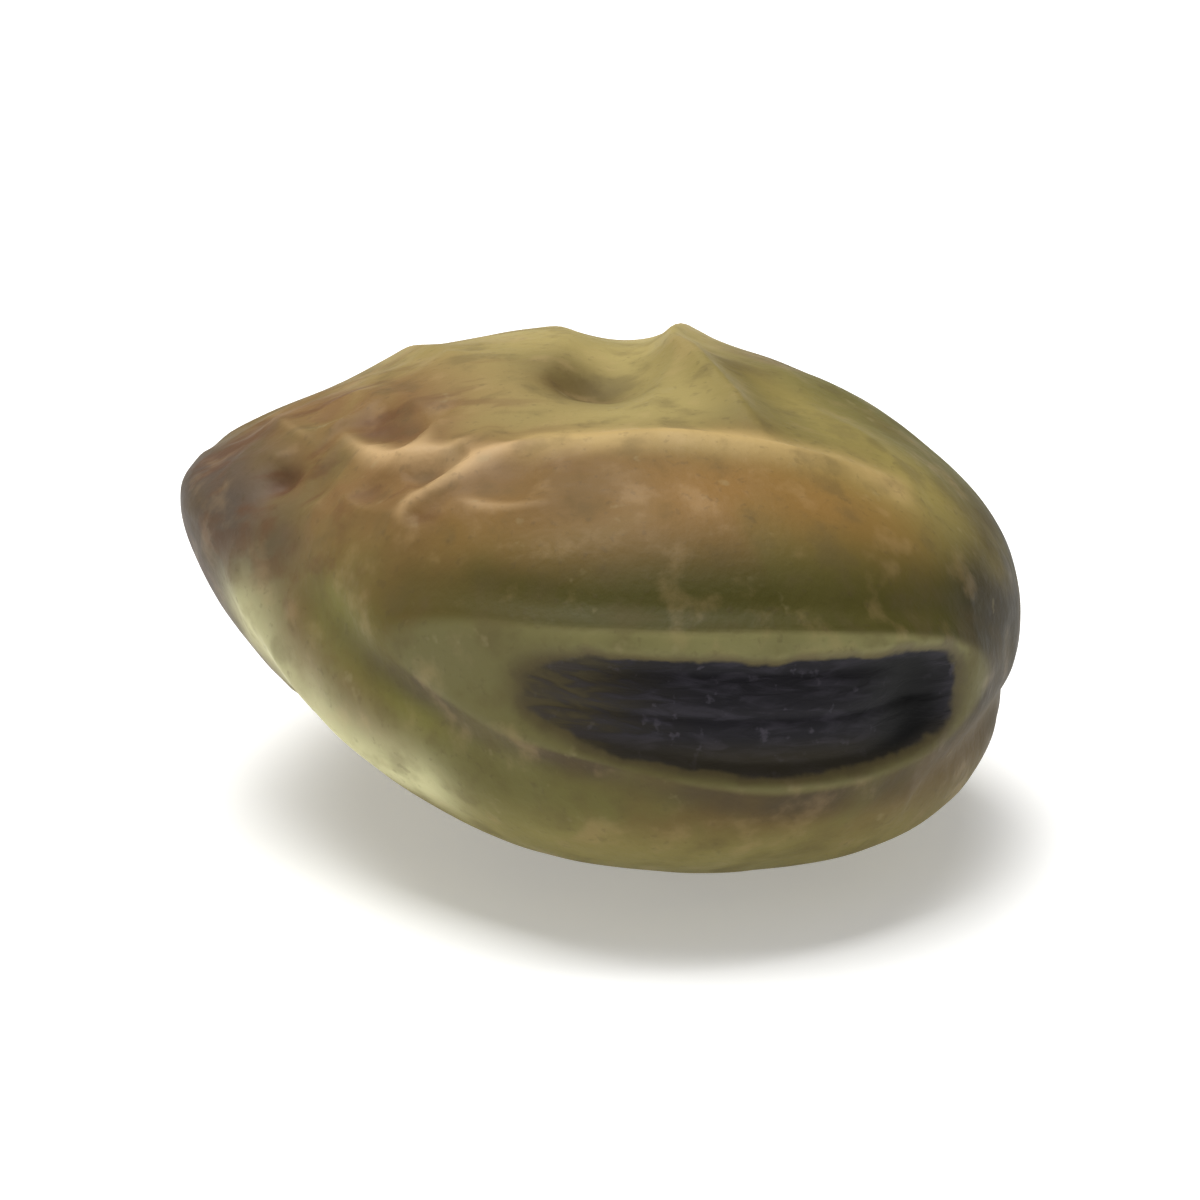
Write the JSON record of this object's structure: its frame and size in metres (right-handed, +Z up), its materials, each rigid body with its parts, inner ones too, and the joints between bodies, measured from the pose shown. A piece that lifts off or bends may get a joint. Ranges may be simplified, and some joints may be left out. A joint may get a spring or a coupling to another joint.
{
  "type": "dried broad bean",
  "caption": "Single shelled broad bean, dried: a flattened, wrinkled seed with a long dark hilum scar on its blunt end, lying on a broad face.",
  "frame": {"origin": "on the surface the bean lies on, below the middle of its bounding box", "axes": "+Z up out of the broad face it does not lie on, -Y towards the hilum end, +X towards the end of the bean that the hilum wraps round"},
  "size_m": [0.018, 0.0206, 0.0103],
  "materials": {
    "seed_coat": null
  },
  "bodies": {
    "root": {"bean": "seed_coat"}
  },
  "joints": []
}
